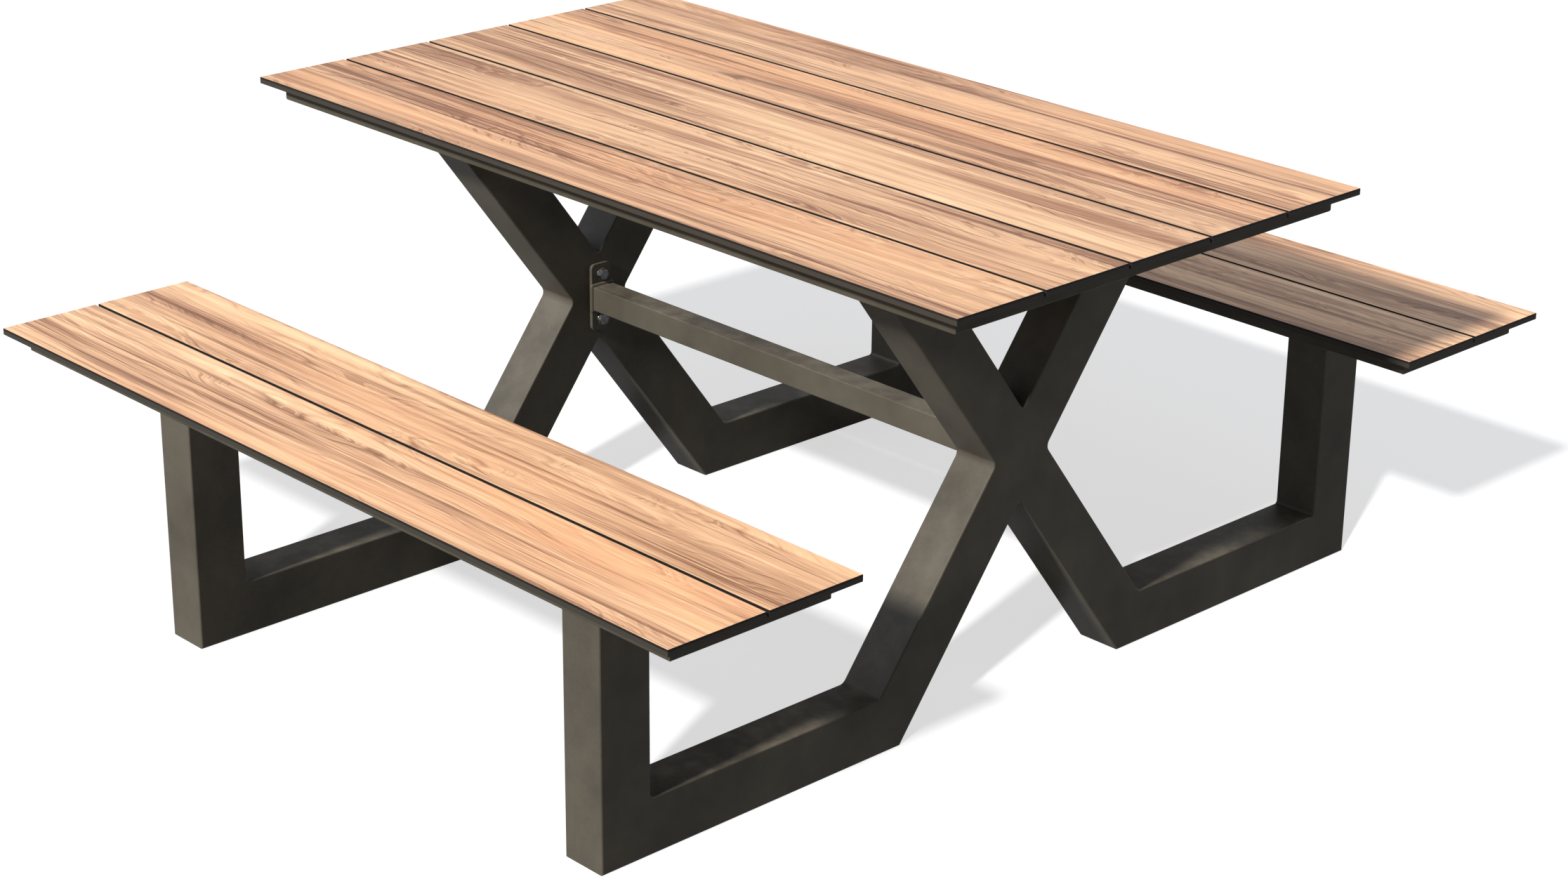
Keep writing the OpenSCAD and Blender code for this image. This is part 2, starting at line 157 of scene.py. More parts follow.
def only(piece):
    """Makes piece the one selected and active object."""
    bpy.ops.object.select_all(action="DESELECT")
    piece.select_set(True)
    bpy.context.view_layer.objects.active = piece


def edit(piece):
    """Enters edit mode on piece with all of it selected."""
    only(piece)
    bpy.ops.object.mode_set(mode="EDIT")
    bpy.ops.mesh.select_mode(type="VERT")
    bpy.ops.mesh.select_all(action="SELECT")


def leave_edit():
    """Leaves edit mode."""
    bpy.ops.object.mode_set(mode="OBJECT")


def settle(piece):
    """Moves piece's place, turn and scale into its mesh."""
    only(piece)
    bpy.ops.object.transform_apply(location=True, rotation=True, scale=True)
    return piece


def named(name):
    """Names the primitive just added, and settles it."""
    piece = bpy.context.object
    piece.name = name
    piece.data.name = name
    return settle(piece)


def copied(piece, name, move=(0, 0, 0)):
    """A copy of piece with its own mesh, moved."""
    twin = bpy.data.objects.new(name, piece.data.copy())
    bpy.context.scene.collection.objects.link(twin)
    twin.data.name = name
    twin.location = move
    return settle(twin)


def merge(piece):
    """Merges doubled points, and makes each flat side one face."""
    edit(piece)
    bpy.ops.mesh.remove_doubles(threshold=TINY)
    bpy.ops.mesh.dissolve_limited(angle_limit=FLAT_ANGLE)
    leave_edit()


def node_copy(node, name):
    """A merged copy of a CAD node, with flat faces in one piece."""
    piece = copied(frame["nodes"][node], name)
    merge(piece)
    return piece


def pick_edges(piece, test):
    """In edit mode, selects the edges that pass the test, and no others."""
    bpy.ops.mesh.select_mode(type="EDGE")
    bpy.ops.mesh.select_all(action="DESELECT")
    mesh = bmesh.from_edit_mesh(piece.data)
    mesh.normal_update()
    for edge in [e for e in mesh.edges if test(e)]:
        edge.select_set(True)
    bmesh.update_edit_mesh(piece.data)


def bevel_picked(piece, test, size, segments):
    """Bevels the edges that pass the test."""
    edit(piece)
    pick_edges(piece, test)
    bpy.ops.mesh.bevel(offset=size, segments=segments, affect="EDGES", clamp_overlap=False)
    leave_edit()


def cut(piece, point, normal):
    """Cuts away what lies beyond the plane on its normal's side, and closes the cut."""
    edit(piece)
    bpy.ops.mesh.bisect(
        plane_co=point,
        plane_no=normal,
        use_fill=True,
        clear_outer=True,
        threshold=CUT_SLACK,
    )
    leave_edit()


def carve(piece, tool, operation):
    """Joins, removes or keeps what piece shares with tool, which is used up."""
    change = piece.modifiers.new("carve", "BOOLEAN")
    change.operation = operation
    change.solver = "EXACT"
    change.object = tool
    only(piece)
    bpy.ops.object.modifier_apply(modifier=change.name)
    bpy.data.objects.remove(tool)


def smooth(piece):
    """Rounds shade smoothly, and flat faces stay flat."""
    only(piece)
    bpy.ops.object.shade_smooth_by_angle(angle=SMOOTH_ANGLE)
    weigh = piece.modifiers.new("weigh", "WEIGHTED_NORMAL")
    weigh.keep_sharp = True
    bpy.ops.object.modifier_apply(modifier=weigh.name)


def slot_of(node):
    """The material slot that the record gives a CAD node."""
    return next(p["material_slot"] for p in frame["record"]["subparts"] if p["node"] == node)


def place(piece, materials, node, *more, stands=True):
    """Finishes a piece that stands for CAD nodes, or that only shares the first one's finish."""
    smooth(piece)
    piece.data.materials.clear()
    for material in materials:
        piece.data.materials.append(material)
    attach(piece, "root")
    if stands:
        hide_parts(node, *more)
    slot_of(node)


def edge_way(edge):
    """The unit vector along an edge."""
    return (edge.verts[1].co - edge.verts[0].co).normalized()


def middle_of(node):
    """The middle of a CAD node's box."""
    low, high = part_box(node)
    return (low + high) / 2


def is_outer_corner(edge, least):
    """True for a square outer edge of a plate, tube or plank that is at least that long."""
    if len(edge.link_faces) != 2 or not edge.is_convex or edge.calc_length() < least:
        return False
    return edge.calc_face_angle() > CORNER_ANGLE


def solid_boxes(node):
    """The lowest and highest corner of each separate solid of a CAD node."""
    piece = node_copy(node, "loose")
    edit(piece)
    bpy.ops.mesh.separate(type="LOOSE")
    leave_edit()
    found = []
    for solid in list(bpy.context.selected_objects):
        points = [v.co for v in solid.data.vertices]
        low = Vector([min(p[i] for p in points) for i in range(3)])
        high = Vector([max(p[i] for p in points) for i in range(3)])
        found.append((low, high))
        bpy.data.objects.remove(solid)
    return sorted(found, key=lambda pair: tuple(round(c, 5) for c in pair[0]))


# ---- Shader expressions ----------------------------------------------------------------


class Wire:
    """A shader value. Arithmetic on it adds the Math nodes, and node() adds any other."""

    def __init__(self, tree, socket=None):
        self.tree = tree
        self.socket = socket

    def node(self, kind, settings=None, values=None, output=0):
        made = self.tree.nodes.new(kind)
        for name, value in (settings or {}).items():
            if name == "stops":
                set_stops(made.color_ramp.elements, value)
            else:
                setattr(made, name, value)
        for name, value in (values or {}).items():
            if isinstance(value, Wire):
                self.tree.links.new(value.socket, made.inputs[name])
            else:
                made.inputs[name].default_value = value
        return Wire(self.tree, made.outputs[output] if len(made.outputs) else None)

    def out(self, name):
        """Another output of the same node."""
        return Wire(self.tree, self.socket.node.outputs[name])

    def math(self, operation, first, second=0.0):
        return self.node("ShaderNodeMath", {"operation": operation}, {0: first, 1: second})

    def __add__(self, other):
        return self.math("ADD", self, other)

    def __sub__(self, other):
        return self.math("SUBTRACT", self, other)

    def __rsub__(self, other):
        return self.math("SUBTRACT", other, self)

    def __mul__(self, other):
        return self.math("MULTIPLY", self, other)

    __radd__ = __add__
    __rmul__ = __mul__


def set_stops(elements, stops):
    """Gives a colour ramp its stops."""
    while len(elements) < len(stops):
        elements.new(0.5)
    for element, (position, colour) in zip(elements, stops):
        element.position = position
        element.color = colour if len(colour) == 4 else (*colour, 1)


def ramp(value, *stops):
    """Turns a value into a colour. Each stop is a position and its colour."""
    return value.node("ShaderNodeValToRGB", {"stops": stops}, {0: value})


def gate(value, off, full):
    """0 from off outwards and 1 from full outwards, with a smooth step between the two."""
    values = {0: value, 1: off, 2: full, 3: 0.0, 4: 1.0}
    return value.node("ShaderNodeMapRange", {"interpolation_type": "SMOOTHSTEP"}, values)


def blend(factor, first, second, kind="MIX"):
    """Mixes two colours."""
    settings = {"data_type": "RGBA", "blend_type": kind}
    return factor.node("ShaderNodeMix", settings, {0: factor, 6: first, 7: second}, 2)


def placed(tree, move=(0, 0, 0), turn=(0, 0, 0), scale=(1, 1, 1)):
    """Object coordinates through a Mapping node."""
    start = Wire(tree).node("ShaderNodeTexCoord", output="Object")
    values = {"Vector": start, "Location": move, "Rotation": turn, "Scale": scale}
    return start.node("ShaderNodeMapping", None, values)


def noise(vector, scale, detail=3.0, rough=0.5, twist=0.0):
    """Noise in three directions."""
    values = {"Vector": vector, "Scale": scale, "Detail": detail}
    values.update({"Roughness": rough, "Distortion": twist})
    return vector.node("ShaderNodeTexNoise", None, values)


def noise1(value, detail):
    """Noise along one number."""
    settings = {"noise_dimensions": "1D"}
    return value.node("ShaderNodeTexNoise", settings, {"W": value, "Scale": 1.0, "Detail": detail})


def bump(height, strength, distance):
    """A normal that height raises, at most by distance in metres."""
    return height.node("ShaderNodeBump", None, {"Strength": strength, "Distance": distance, "Height": height})


def new_material(name):
    """A material with an empty node tree."""
    material = bpy.data.materials.new(name)
    material.use_nodes = True
    material.node_tree.nodes.clear()
    return material


def surface(material, **values):
    """Ends a material with a Principled shader. Names use _ for a space."""
    start = Wire(material.node_tree)
    sockets = {name.replace("_", " "): value for name, value in values.items()}
    shader = start.node("ShaderNodeBsdfPrincipled", None, sockets)
    start.node("ShaderNodeOutputMaterial", None, {"Surface": shader})
    return material


# ---- Materials -------------------------------------------------------------------------


def wavering(tree, shift):
    """The places along and across the grain, the second one wavering, and its widest waver."""
    flat = placed(tree, shift)
    axes = flat.node("ShaderNodeSeparateXYZ", None, {0: flat})
    wander = noise(placed(tree, shift, scale=(0.75, 5, 5)), 1.0, 2.0) - 0.5
    ripple = noise(placed(tree, shift, scale=(4.5, 20, 20)), 1.0, 2.0) - 0.5
    over = axes.out("Y") + wander * WANDER + ripple * RIPPLE
    return axes.out("X"), over, wander


def wood_decor(name, shift, slope, warmth, lightness_with_painted_light, figure):
    """The printed wood of one plank, with its grain along X.

    shift moves the pattern, slope sets how close its growth lines run, warmth how red it is,
    the lightness how light it is, with painted sun or painted shade in it, and figure how strong its dark
    lines are.
    """
    material = new_material(name)
    along, over, wander = wavering(material.node_tree, shift)

    def lay(along_per_metre, over_per_metre):
        values = {"X": along * along_per_metre, "Y": over * over_per_metre}
        return along.node("ShaderNodeCombineXYZ", None, values)

    broad = noise(lay(1.0, 14), 1.0, 3.0, 0.55)
    streak = noise(lay(0.95, 75), 1.0, 5.0, 0.62)
    vein = noise(lay(0.85, 92), 1.0, 5.0, 0.62, 0.5)
    fibre = noise(lay(9, 620), 1.0, 3.0, 0.6)
    swell = noise(lay(1.7, 9), 1.0, 3.0, 0.42)
    rings = noise1((swell * 2.6 + over * slope) * RINGS_PER_METRE, 4.0)
    tone = broad * 0.38 + streak * 0.24 + rings * 0.22 + fibre * 0.16
    # The tones are scaled by the deck's lightness, which is partly painted sun and painted shade.
    colour = ramp(tone, *[(at, tuple(c * lightness_with_painted_light for c in tint)) for at, tint in WOOD_TONES])
    bunch = gate(broad, 0.62, 0.40)  # where dark lines gather
    band = gate(noise(lay(0.8, 38), 1.0, 3.0, 0.55), 0.54, 0.68) * (0.5 * figure)
    colour = blend(band, colour, WOOD_BAND)
    dark = gate(vein, 0.545, 0.60) * (bunch * 0.75 + 0.2) * figure
    colour = blend(dark, colour, WOOD_VEIN)
    growth = gate(rings, 0.575, 0.625) * gate(streak, 0.60, 0.46) * (bunch * 0.6 + 0.4) * figure
    colour = blend(growth, colour, WOOD_RING)
    blush = gate(broad * 0.5 + wander * 0.5 + 0.25, 0.44, 0.60) * warmth
    colour = blend(blush, colour, WOOD_BLUSH, "MULTIPLY")
    surface(
        material,
        Base_Color=colour,
        Roughness=fibre * 0.16 + 0.36,
        Normal=bump(fibre * 0.6 + vein * 0.4, 0.10, 0.0005),
        Specular_IOR_Level=0.26,
    )
    return material


def laminate_core(name, top):
    """The dark edge of a compact laminate plank, blacker just under its face."""
    material = new_material(name)
    tree = material.node_tree
    flat = placed(tree, move=(0, 0, -top))
    depth_mm = flat.node("ShaderNodeSeparateXYZ", None, {0: flat}).out("Z") * -MM_PER_METRE
    body = gate(depth_mm, 2.2, 3.6)
    grit = noise(placed(tree), 900.0, 3.0)
    layers = noise(placed(tree, scale=(4, 4, 1500)), 1.0, 2.0)
    colour = blend(body, CORE_RIM, CORE)
    colour = blend(body * (grit * 0.3 + layers * 0.3), colour, CORE_FLECK)
    surface(
        material,
        Base_Color=colour,
        Roughness=grit * 0.2 + 0.46,
        Normal=bump(grit * 0.7 + layers * 0.3, 0.2, 0.0003),
        Specular_IOR_Level=0.15,
    )
    return material


def powder_coat(name, base):
    """Fine-textured powder coat with a little dust on faces that look up."""
    material = new_material(name)
    tree = material.node_tree
    plain = placed(tree)
    orange_peel = noise(plain, 420.0, 2.0, 0.5)
    grain = noise(plain, 1500.0, 2.0, 0.6)
    cloud = noise(plain, 7.0, 4.0, 0.6)
    dark = tuple(c * COAT_DARKEST for c in base)
    light = tuple(c * COAT_LIGHTEST for c in base)
    colour = ramp(cloud * 0.5 + grain * 0.5, (0.36, dark), (0.64, light))
    facing = plain.node("ShaderNodeNewGeometry", output="Normal")
    up = gate(facing.node("ShaderNodeSeparateXYZ", None, {0: facing}).out("Z"), 0.45, 0.95)
    settled = up * gate(noise(plain, 38.0, 5.0, 0.65) * 0.5 + cloud * 0.5, 0.40, 0.66) * 0.5
    colour = blend(settled, colour, DUST)
    surface(
        material,
        Base_Color=colour,
        Roughness=cloud * 0.14 + settled * 0.25 + 0.34,
        Normal=bump(orange_peel * 0.6 + grain * 0.4, 0.28, 0.0004),
        Specular_IOR_Level=0.08,
    )
    return material


def zinc(name):
    """Zinc-plated steel."""
    material = new_material(name)
    tree = material.node_tree
    plain = placed(tree)
    mottle = noise(plain, 210.0, 4.0, 0.6)
    scratch = noise(placed(tree, scale=(900, 160, 900)), 1.0, 3.0)
    colour = ramp(mottle, (0.35, ZINC_DARK), (0.65, ZINC_LIGHT))
    surface(
        material,
        Base_Color=colour,
        Metallic=1.0,
        Roughness=mottle * 0.22 + scratch * 0.1 + 0.16,
        Normal=bump(scratch, 0.1, 0.0002),
    )
    return material


def floor_paint():
    """Matt white paint with a slight glow, so that the floor's shadows stay pale."""
    material = new_material("floor_paint")
    cloud = noise(placed(material.node_tree), 1.3, 3.0)
    colour = ramp(cloud, (0.3, FLOOR_DARK), (0.7, FLOOR_PALE))
    surface(
        material,
        Base_Color=colour,
        Roughness=0.85,
        Emission_Color=WHITE,
        Emission_Strength=FLOOR_GLOW,
    )
    return material


# ---- Camera, light and floor -----------------------------------------------------------


def direction(azimuth, elevation):
    """The unit vector that points that way. Azimuth 0 is the front, and 90 degrees the right."""
    level = cos(elevation)
    return Vector((sin(azimuth) * level, -cos(azimuth) * level, sin(elevation)))


def make_camera():
    """The camera, turned by its azimuth, elevation and roll."""
    back = direction(CAMERA_AZIMUTH, CAMERA_ELEVATION)
    level = Vector((0, 0, 1)).cross(back).normalized()
    upright = back.cross(level)
    right = level * cos(CAMERA_ROLL) + upright * sin(CAMERA_ROLL)
    up = back.cross(right)
    data = bpy.data.cameras.new("camera")
    data.lens = CAMERA_LENS
    data.sensor_width = SENSOR_WIDTH
    camera = bpy.data.objects.new("camera", data)
    bpy.context.scene.collection.objects.link(camera)
    turn = Matrix((right, up, back)).transposed().to_4x4()
    camera.matrix_world = Matrix.Translation(CAMERA_PLACE) @ turn
    bpy.context.scene.camera = camera


def make_floor():
    """A wide flat floor, which is no part of the object."""
    bpy.ops.mesh.primitive_plane_add(size=FLOOR_SIZE, location=(0, 0, -FLOOR_DROP))
    floor = named("floor")
    floor.data.materials.append(floor_paint())
    return floor


def add_sun(name, azimuth, elevation, strength, spread, colour):
    """A distant light that comes from that azimuth and elevation."""
    data = bpy.data.lights.new(name, "SUN")
    data.energy = strength
    data.angle = radians(spread)
    data.color = colour
    light = bpy.data.objects.new(name, data)
    bpy.context.scene.collection.objects.link(light)
    toward = direction(radians(azimuth), radians(elevation))
    light.rotation_mode = "QUATERNION"
    light.rotation_quaternion = toward.to_track_quat("Z", "Y")
    light.location = toward * LIGHT_DISTANCE
    return light


def limit_light(light, floor, state):
    """Has a light, or the glowing floor, reach only the floor (INCLUDE) or all but it (EXCLUDE)."""
    group = bpy.data.collections.new(light.name + "_reach")
    group.objects.link(floor)
    group.collection_objects[0].light_linking.link_state = state
    light.light_linking.receiver_collection = group


def make_sky():
    """A dim cool sky above a white horizon."""
    world = bpy.data.worlds.new("studio")
    world.use_nodes = True
    tree = world.node_tree
    way = Wire(tree).node("ShaderNodeTexCoord", output="Generated")
    height = way.node("ShaderNodeSeparateXYZ", None, {0: way}).out("Z")
    sky = blend(gate(height, *HORIZON), WHITE, SKY)
    tree.links.new(sky.socket, tree.nodes["Background"].inputs["Color"])
    bpy.context.scene.world = world


def make_light(floor):
    """Suns that light the object alone, one for the floor alone, and the sky."""
    for name, values in (
        ("key_light", KEY_LIGHT),
        ("sheen_light", SHEEN_LIGHT),
        ("back_light", BACK_LIGHT),
    ):
        limit_light(add_sun(name, *values), floor, "EXCLUDE")
    for light in (floor, add_sun("floor_light", *FLOOR_LIGHT)):
        limit_light(light, floor, "INCLUDE")
    make_sky()
    bpy.context.scene.view_settings.view_transform = "Standard"


# ---- Decks -----------------------------------------------------------------------------


def make_board(node, decor, core):
    """A plank with fine chamfers, wood on both faces and the dark core on its edges."""
    piece = node_copy(node, node.replace("plank", "board"))
    bevel_picked(piece, lambda e: is_outer_corner(e, BOARD_EDGE_MIN), BOARD_CHAMFER, segments=2)
    low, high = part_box(node)
    place(piece, (decor, core), node)
    for face in piece.data.polygons:
        depth = min(face.center.z - low.z, high.z - face.center.z)
        face.material_index = 0 if abs(face.normal.z) > STRAIGHT and depth < TINY else 1


def make_boards():
    """Every plank, each with its own cut of the wood decor."""
    first = {"table": "table_plank_1", "bench": "front_bench_outer_plank"}
    cores = {}
    for deck, node in first.items():
        cores[deck] = laminate_core(f"{deck}_laminate_core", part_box(node)[1].z)
    nodes = sorted(n for n in frame["nodes"] if "plank" in n and n != "plank_screws")
    for number, node in enumerate(nodes):
        shift = tuple(step * number for step in PLANK_SHIFT)
        slope = 11.0 + 4.0 * sin(2.4 * number)
        warmth = 0.35 + 0.25 * sin(1.9 * number)
        deck = "bench" if "bench" in node else "table"
        # The benches' wood comes out lighter than the table's: painted sun against painted shade.
        decor = wood_decor(f"{node}_decor", shift, slope, warmth, *DECK_WOOD_AND_PAINTED_LIGHT[deck])
        make_board(node, decor, cores[deck])


def make_tube(node, axis, coat):
    """A rail, bearer or beam with its four long edges rounded."""
    piece = node_copy(node, node + "_tube")
    bevel_picked(
        piece,
        lambda e: is_outer_corner(e, RAIL_EDGE_MIN) and abs(edge_way(e).dot(axis)) > STRAIGHT,
        RAIL_ROUND,
        segments=3,
    )
    place(piece, (coat,), node)


def make_subframes(coat):
    """The rails and bearers under the three decks."""
    for node in sorted(frame["nodes"]):
        if node.endswith("_bearer") or node.endswith("end_rail"):
            make_tube(node, Vector((0, 1, 0)), coat)
        elif node.endswith("_rail") and "foot" not in node:
            make_tube(node, Vector((1, 0, 0)), coat)


# ---- End frames ------------------------------------------------------------------------


def frame_sizes():
    """The right frame's sizes, from its tubes' boxes."""
    post_low, post_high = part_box("right_frame_rear_post")
    bar_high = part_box("right_frame_long_bar")[1]
    foot_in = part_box("right_frame_rear_foot_rail")[0].y
    return SimpleNamespace(
        x=(post_low.x + post_high.x) / 2,
        depth=post_high.x - post_low.x,
        width=post_high.y - post_low.y,
        post_out=post_high.y,
        post_top=post_high.z,
        arm_top=bar_high.z,
        foot_in=foot_in,
        cross_z=middle_of("cross_beam").z,
        lean=atan2(bar_high.z, bar_high.y + foot_in),
    )


def block(name, x, y, z, sizes, lean=0.0):
    """A block of those sizes, turned about X by lean."""
    bpy.ops.mesh.primitive_cube_add(size=1, location=(x, y, z), rotation=(lean, 0, 0), scale=sizes)
    return named(name)


def frame_bars(form, depth, width, over):
    """Blocks for a frame's tubes: overlong bars, and rails and posts longer by over at each end."""
    reach = 2 * form.arm_top
    rail_l = form.post_out - form.foot_in + 2 * over
    rail_y = (form.post_out + form.foot_in) / 2
    post_l = form.post_top + 2 * over
    found = {
        "long_bar": block("long_bar", form.x, 0, form.cross_z, (depth, reach, width), form.lean),
        "cross_bar": block("cross_bar", form.x, 0, form.cross_z, (depth, reach, width), -form.lean),
    }
    for side, word in ((-1, "front"), (1, "rear")):
        post_y = side * (form.post_out - form.width / 2)
        found[word + "_foot_rail"] = block(
            word + "_foot_rail", form.x, side * rail_y, form.width / 2, (depth, rail_l, width)
        )
        found[word + "_post"] = block(
            word + "_post", form.x, post_y, form.post_top / 2, (depth, width, post_l)
        )
    return found


def corner_opening(edge):
    """The angle between the two faces at an inner corner that runs along X, or 0."""
    if len(edge.link_faces) != 2 or abs(edge_way(edge).x) < STRAIGHT:
        return 0
    turn = edge.calc_face_angle_signed()
    return pi + turn if turn < -CREASE_ANGLE else 0


def weld_corners(piece, opening, radius):
    """Rounds the inner corners of that opening as their weld fillets do."""
    size = radius / tan(opening / 2)
    bevel_picked(piece, lambda e: abs(corner_opening(e) - opening) < OPENING_SLACK, size, segments=6)


def is_rim(edge, form):
    """True for an edge between a frame's side face and its outline, save at a tube's top."""
    if len(edge.link_faces) != 2:
        return False
    flat = [abs(face.normal.x) > STRAIGHT for face in edge.link_faces]
    level = [v.co.z for v in edge.verts]
    at_top = any(all(abs(z - top) < EDGE_SLACK for z in level) for top in (form.arm_top, form.post_top))
    return flat[0] != flat[1] and not at_top


def make_weldment(form):
    """The whole frame in one shape, with its weld fillets and rounded rims."""
    bars = frame_bars(form, form.depth, form.width, 0)
    blank = bars.pop("long_bar")
    for bar in (blank, bars["cross_bar"]):
        cut(bar, (0, 0, 0), (0, 0, -1))
        cut(bar, (0, 0, form.arm_top), (0, 0, 1))
    for bar in bars.values():
        carve(blank, bar, "UNION")
    merge(blank)
    weld_corners(blank, 2 * form.lean, WELD_R)
    weld_corners(blank, pi - form.lean, WELD_R)
    weld_corners(blank, pi - 2 * form.lean, SMALL_WELD_R)
    weld_corners(blank, pi / 2, SMALL_WELD_R)
    bevel_picked(blank, lambda e: is_rim(e, form), TUBE_ROUND, segments=3)
    return blank


def frame_cuts(form):
    """For each tube of the frame, the planes that part it from its neighbours."""
    cross = Vector((0, 0, form.cross_z))
    above = Vector((0, -sin(form.lean), cos(form.lean)))
    half = above * (form.width / 2 + SEAM)
    clear_y = (form.post_out + form.foot_in) / 2
    cuts = {
        "long_bar": [(cross + half, above), (cross - half, -above)],
        "lower_bar": [(cross - half, above)],
        "upper_bar": [
            (cross + half, -above),
            (Vector((0, 0, form.cross_z / 2)), Vector((0, 0, -1))),
            (Vector((0, -clear_y, 0)), Vector((0, -1, 0))),
        ],
    }
    for side, word in ((-1, "front"), (1, "rear")):
        corner = Vector((0, side * form.post_out, 0))
        corner_way = Vector((0, side, 1))
        foot = Vector((0, side * form.foot_in, 0))
        foot_way = Vector((0, side * cos(form.lean / 2), -sin(form.lean / 2)))
        cuts[word + "_post"] = [
            (Vector((0, side * clear_y, 0)), Vector((0, -side, 0))),
            (corner, -corner_way),
        ]
        cuts[word + "_foot_rail"] = [(corner, corner_way), (foot, -foot_way)]
        cuts["long_bar" if side < 0 else "lower_bar"].append((foot, foot_way))
    return cuts


def hollow_tools(form):
    """Blocks of the size of the tubes' hollows, by the tube they empty."""
    tools = frame_bars(form, form.depth - 2 * TUBE_WALL, form.width - 2 * TUBE_WALL, HOLLOW_OVERRUN)
    tools["lower_bar"] = tools["cross_bar"]
    tools["upper_bar"] = copied(tools["cross_bar"], "upper_hollow")
    return tools


def make_end_frames(coat):
    """Parts one welded shape into its hollow tubes, for the right end and, moved, the left."""
    form = frame_sizes()
    blank = make_weldment(form)
    tools = hollow_tools(form)
    for part, planes in frame_cuts(form).items():
        piece = copied(blank, f"right_frame_{part}_tube")
        for point, normal in planes:
            cut(piece, point, normal)
        carve(piece, tools[part], "DIFFERENCE")
        twin = copied(piece, f"left_frame_{part}_tube", (-2 * form.x, 0, 0))
        for end, made in (("right", piece), ("left", twin)):
            stands_for = [f"{end}_frame_{part}"]
            if part == "long_bar":
                stands_for.append(f"{end}_frame_welds")
            place(made, (coat,), *stands_for)
    bpy.data.objects.remove(blank)


def is_at_x(edge, x):
    """True for an edge in the plane at x."""
    return all(abs(v.co.x - x) < TINY for v in edge.verts)


def make_beam_beads(coat):
    """The weld beads round the beam's two ends, against its end plates."""
    low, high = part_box("cross_beam")
    middle = (low + high) / 2
    size = high - low
    outer = (BEAM_BEAD, size.y + 2 * BEAM_BEAD, size.z + 2 * BEAM_BEAD)
    bite = BEAM_BEAD / 4
    inner = (4 * BEAM_BEAD, size.y - bite, size.z - bite)
    for side, word, end in ((-1, "left", low.x), (1, "right", high.x)):
        x = end - side * BEAM_BEAD / 2
        bead = block(f"beam_{word}_weld_bead", x, middle.y, middle.z, outer)
        free = end - side * BEAM_BEAD
        bevel_picked(bead, lambda e: abs(abs(edge_way(e).x) - 1) < TINY, BEAM_BEAD, segments=4)
        bevel_picked(bead, lambda e: is_at_x(e, free), BEAM_BEAD_ROUND, segments=3)
        carve(bead, block("bore", x, middle.y, middle.z, inner), "DIFFERENCE")
        place(bead, (coat,), "cross_beam", stands=False)


def make_plates(coat):
    """The mounting plates on the arms and posts, and the beam's end plates."""
    nodes = [n for n in sorted(frame["nodes"]) if n.endswith("_plates") or n.endswith("_plate")]
    for node in nodes:
        piece = node_copy(node, node.replace("plate", "mounting_plate"))
        bevel_picked(piece, lambda e: is_outer_corner(e, PLATE_EDGE_MIN), PLATE_ROUND, segments=2)
        place(piece, (coat,), node)


# ---- Fasteners -------------------------------------------------------------------------


def bar_round(name, radius, low, high, sides, top_radius=None):
    """A round bar along Z from low to high."""
    bpy.ops.mesh.primitive_cone_add(
        vertices=sides,
        radius1=radius,
        radius2=radius if top_radius is None else top_radius,
        depth=high - low,
        location=(0, 0, (low + high) / 2),
    )
    return named(name)


def is_below(edge, z):
    """True for an edge that lies wholly below z."""
    return all(v.co.z < z for v in edge.verts)


def is_above(edge, z):
    """True for an edge that lies wholly above z."""
    return all(v.co.z > z for v in edge.verts)


def make_hex_bolt(flats, head_h, thread_d, length):
    """A bolt pointing up Z, with the underside of its chamfered head at the origin."""
    corner = flats / 2 / cos(pi / 6)
    head = bar_round("bolt", corner, -head_h, 0, sides=6)
    end_r = flats * 0.475
    wide_r = end_r + head_h / tan(pi / 6)
    cone = bar_round("chamfer", end_r, -head_h, 0, sides=48, top_radius=wide_r)
    carve(head, cone, "INTERSECT")
    shank = bar_round("shank", thread_d / 2, -head_h / 2, length, sides=24)
    lead_in = thread_d * 0.1
    bevel_picked(shank, lambda e: is_above(e, length - TINY), lead_in, segments=1)
    carve(head, shank, "UNION")
    return head


def is_washer_rim(edge, outer):
    """True for the outer rims of a washer, and not its bore's."""
    wide = all(v.co.xy.length > outer * 0.45 for v in edge.verts)
    level = abs(edge_way(edge).z) < 0.5
    return wide and level and is_outer_corner(edge, 0)


def make_washer(outer, inner, thick):
    """A flat washer about the Z axis, from z = 0 to thick."""
    ring = bar_round("washer", outer / 2, 0, thick, sides=48)
    carve(ring, bar_round("bore", inner / 2, -thick, 2 * thick, sides=32), "DIFFERENCE")
    rim_round = thick * 0.2
    bevel_picked(ring, lambda e: is_washer_rim(e, outer), rim_round, segments=2)
    return ring


def make_screw(head_d, thread_d, length):
    """A pan-head screw pointing up Z, with the underside of its head at the origin."""
    head = bar_round("screw", head_d / 2, -SCREW_HEAD_H, 0, sides=20)
    bevel_picked(head, lambda e: is_below(e, TINY - SCREW_HEAD_H), SCREW_HEAD_ROUND, segments=3)
    socket_r = head_d * 0.24
    socket_end = -SCREW_HEAD_H * 0.45
    carve(head, bar_round("socket", socket_r, -2 * SCREW_HEAD_H, socket_end, sides=6), "DIFFERENCE")
    root = -SCREW_HEAD_H * 0.2
    shank = bar_round("shank", thread_d / 2, root, length - thread_d, sides=12)
    tip_start = length - thread_d * 1.2
    tip_r = thread_d * 0.08
    tip = bar_round("tip", thread_d / 2, tip_start, length, sides=12, top_radius=tip_r)
    carve(shank, tip, "UNION")
    carve(head, shank, "UNION")
    return head


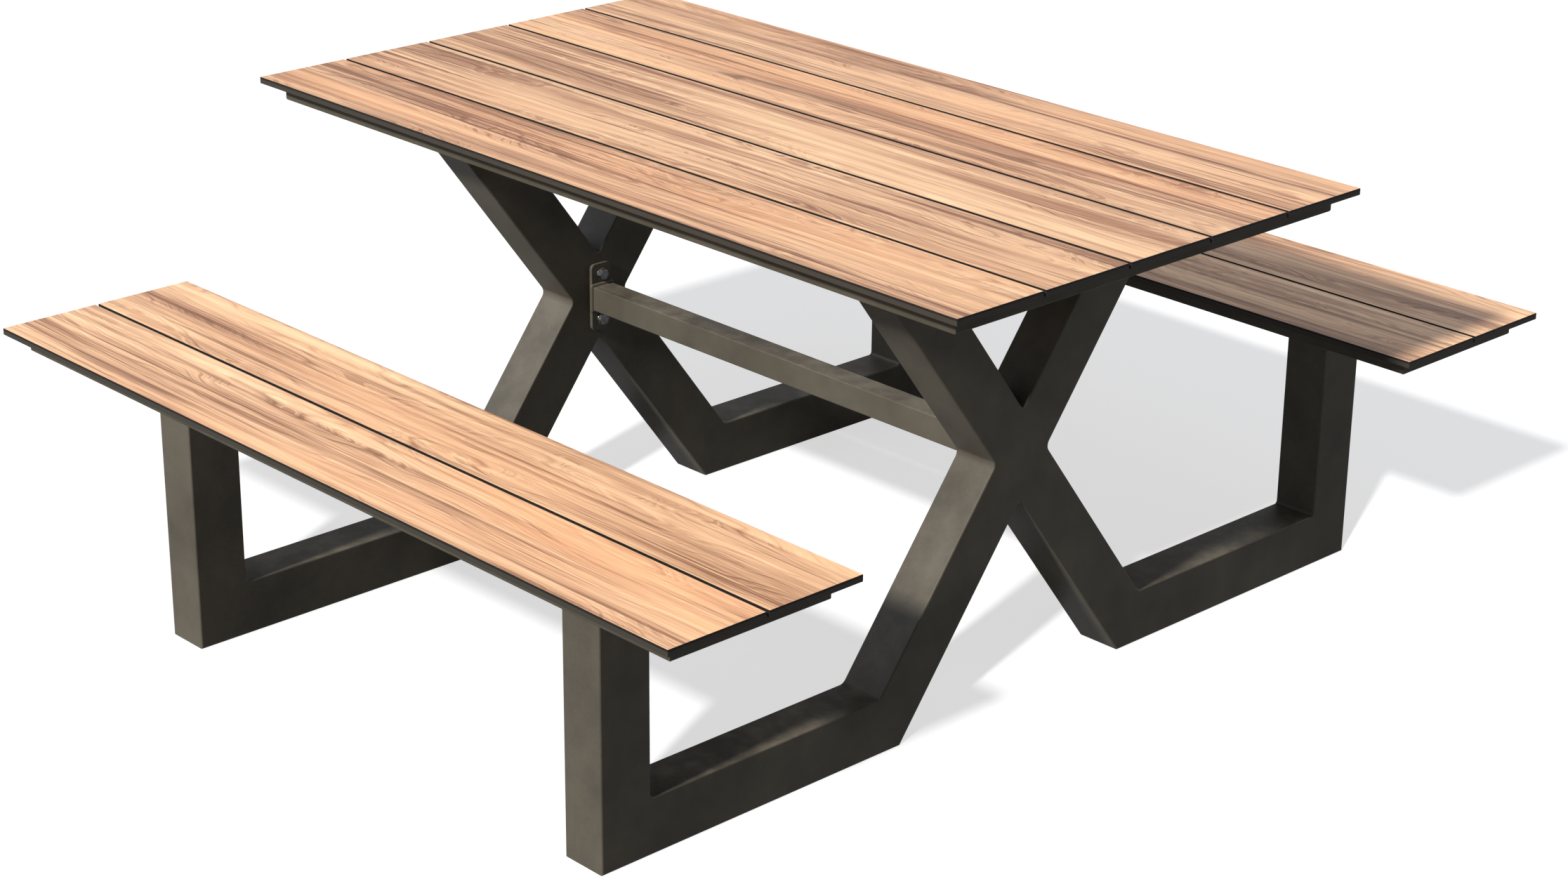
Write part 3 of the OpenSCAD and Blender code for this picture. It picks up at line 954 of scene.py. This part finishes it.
def spread(pattern, name, places, material, node):
    """Copies of pattern at places, each (point, turn about Y), as one piece."""
    copies = []
    for point, turn in places:
        twin = bpy.data.objects.new(name, pattern.data.copy())
        bpy.context.scene.collection.objects.link(twin)
        twin.location = point
        twin.rotation_euler = (0, turn, 0)
        copies.append(twin)
    only(copies[0])
    for twin in copies:
        twin.select_set(True)
    bpy.ops.object.join()
    piece = settle(bpy.context.object)
    piece.name = name
    bpy.data.objects.remove(pattern)
    place(piece, (material,), node)


def beam_bolt_places(bolts, washers):
    """Where the beam's bolts and washers sit. Each head faces the middle of the table."""
    bolt_places = []
    washer_places = []
    for (b_low, b_high), (w_low, w_high) in zip(bolts, washers):
        middle = (w_low + w_high) / 2
        if middle.x > 0:
            bolt_places.append(((b_low.x + BEAM_HEAD_H, middle.y, middle.z), pi / 2))
            washer_places.append(((w_low.x, middle.y, middle.z), pi / 2))
        else:
            bolt_places.append(((b_high.x - BEAM_HEAD_H, middle.y, middle.z), -pi / 2))
            washer_places.append(((w_high.x, middle.y, middle.z), -pi / 2))
    return bolt_places, washer_places


def make_beam_bolts(steel):
    """The bolts above and below the beam's ends, and their washers."""
    bolts = solid_boxes("beam_bolts")
    washers = solid_boxes("beam_washers")
    bolt_places, washer_places = beam_bolt_places(bolts, washers)
    low, high = bolts[0]
    length = high.x - low.x - BEAM_HEAD_H
    bolt = make_hex_bolt(high.z - low.z, BEAM_HEAD_H, BEAM_THREAD, length)
    spread(bolt, "beam_hex_bolts", bolt_places, steel, "beam_bolts")
    low, high = washers[0]
    washer = make_washer(high.z - low.z, WASHER_BORE, high.x - low.x)
    spread(washer, "beam_flat_washers", washer_places, steel, "beam_washers")


def make_deck_bolts(steel):
    """The bolts that hold the decks, from below."""
    boxes = solid_boxes("deck_bolts")
    low, high = boxes[0]
    length = high.z - low.z - DECK_HEAD_H
    bolt = make_hex_bolt(high.y - low.y, DECK_HEAD_H, DECK_THREAD, length)
    places = [(((a.x + b.x) / 2, (a.y + b.y) / 2, a.z + DECK_HEAD_H), 0) for a, b in boxes]
    spread(bolt, "deck_hex_bolts", places, steel, "deck_bolts")


def make_plank_screws(steel):
    """The screws that hold the planks, from below."""
    boxes = solid_boxes("plank_screws")
    low, high = boxes[0]
    length = high.z - low.z - SCREW_HEAD_H
    screw = make_screw(high.x - low.x, SCREW_THREAD, length)
    places = [(((a.x + b.x) / 2, (a.y + b.y) / 2, a.z + SCREW_HEAD_H), 0) for a, b in boxes]
    spread(screw, "plank_pan_screws", places, steel, "plank_screws")


def keep_nodes(material, *nodes):
    """CAD nodes that stay, with a better material."""
    for node in nodes:
        for slot in frame["nodes"][node].material_slots:
            slot.material = material


make_camera()
make_light(make_floor())
make_boards()
# The rails and bearers get a darker copy of the frames' coat, as painted shade.
rail_coat_painted_shade = powder_coat("subframe_coat_fine", SUBFRAME_COAT_PAINTED_SHADE)
frame_coat = powder_coat("frame_coat_fine", FRAME_COAT)
steel = zinc("zinc_plate")
make_subframes(rail_coat_painted_shade)
make_end_frames(frame_coat)
make_plates(frame_coat)
make_tube("cross_beam", Vector((1, 0, 0)), frame_coat)
make_beam_beads(frame_coat)
make_beam_bolts(steel)
make_deck_bolts(steel)
make_plank_screws(steel)
keep_nodes(steel, "beam_rivet_nuts", "deck_rivet_nuts")
